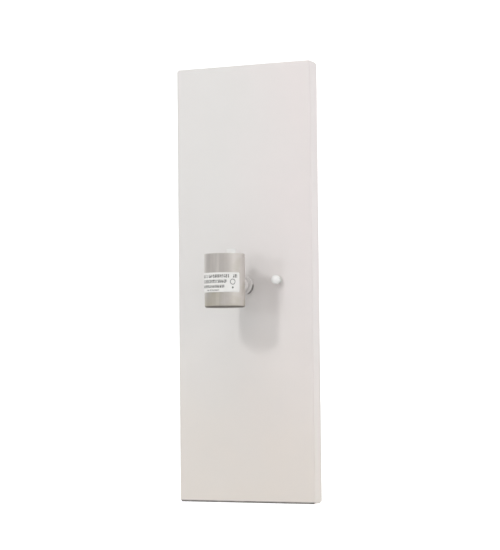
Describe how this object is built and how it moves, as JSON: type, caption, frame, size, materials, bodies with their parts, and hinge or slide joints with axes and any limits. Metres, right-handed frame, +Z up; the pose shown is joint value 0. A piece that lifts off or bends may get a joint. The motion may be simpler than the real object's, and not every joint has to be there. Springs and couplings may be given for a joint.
{
  "type": "wall light base with lamp holder",
  "caption": "Tall shallow wall plate with an upright screw-base lamp holder on a short arm, held by ball nuts on a swivel crossbar.",
  "frame": {"origin": "on the wall plane, at the centre of the outlet box that the crossbar is screwed to", "axes": "+Z up, -Y out of the wall towards the lamp side, +X to the right for someone facing the wall"},
  "size_m": [0.1524, 0.09, 0.4572],
  "materials": {
    "white_paint": "satin white baked enamel on folded steel",
    "socket_sleeve": "satin light grey lacquer on spun metal, faint upright streaks",
    "zinc": "bright zinc plate",
    "brass": "plain brass",
    "nickel": "dull nickel plate",
    "porcelain": "white glaze",
    "label_paper": "matt white paper with plain grey bars",
    "green_screw": "green lacquer on steel",
    "white_nylon": "natural white nylon"
  },
  "bodies": {
    "wall_side": {"box_bar": "zinc", "swivel_eyelet": "zinc"},
    "fixture": {"fixture_bar": "zinc", "ground_cup_washer": "brass", "ground_screw": "green_screw", "wall_pan": "white_paint", "stud_left": "zinc", "stud_right": "zinc", "jam_nut_left": "zinc", "jam_nut_right": "zinc", "arm_pipe": "zinc", "wire_bushing": "white_nylon", "pipe_locknut": "zinc", "pipe_lock_washer": "zinc", "arm_collar": "white_paint", "arm_neck": "white_paint", "socket_cup": "socket_sleeve", "socket_bracket": "white_paint", "socket_body": "porcelain", "screw_shell": "nickel", "contact_spring": "brass", "contact_rivet": "brass", "shell_rivet_rear": "nickel", "shell_rivet_front": "nickel", "hot_terminal": "brass", "neutral_terminal": "nickel", "hot_terminal_screw": "brass", "neutral_terminal_screw": "nickel", "body_screw": "zinc", "rating_label": "label_paper"},
    "washer_left": {"nut_washer_left": "white_nylon"},
    "washer_right": {"nut_washer_right": "white_nylon"},
    "ball_nut_left": {"ball_nut_left": "white_paint"},
    "ball_nut_right": {"ball_nut_right": "white_paint"},
    "contact": {"contact_button": "nickel"}
  },
  "joints": [
    {"name": "crossbar_swivel", "type": "hinge", "parent": "wall_side", "child": "fixture", "pos_m": [0, 0, 0], "axis": [0, -1, 0], "range_deg": [-90, 90]},
    {"name": "nut_travel_left", "type": "slide", "parent": "fixture", "child": "washer_left", "axis": [0, -1, 0], "range_m": [0, 0.0056]},
    {"name": "nut_turn_left", "type": "hinge", "parent": "washer_left", "child": "ball_nut_left", "pos_m": [-0.0381, -0.025, 0], "axis": [0, -1, 0], "range_deg": [0, 2520]},
    {"name": "nut_travel_right", "type": "slide", "parent": "fixture", "child": "washer_right", "axis": [0, -1, 0], "range_m": [0, 0.0056]},
    {"name": "nut_turn_right", "type": "hinge", "parent": "washer_right", "child": "ball_nut_right", "pos_m": [0.0381, -0.025, 0], "axis": [0, -1, 0], "range_deg": [0, 2520]},
    {"name": "contact_press", "type": "slide", "parent": "fixture", "child": "contact", "axis": [0, 0, -1], "range_m": [0, 0.0014], "stiffness_N_per_m": 3000, "deforming": ["contact_spring"]}
  ],
  "couplings": [
    {"joint": "nut_travel_left", "follows": "nut_turn_left", "m_per_rad": 0.00012633},
    {"joint": "nut_travel_right", "follows": "nut_turn_right", "m_per_rad": 0.00012633}
  ]
}
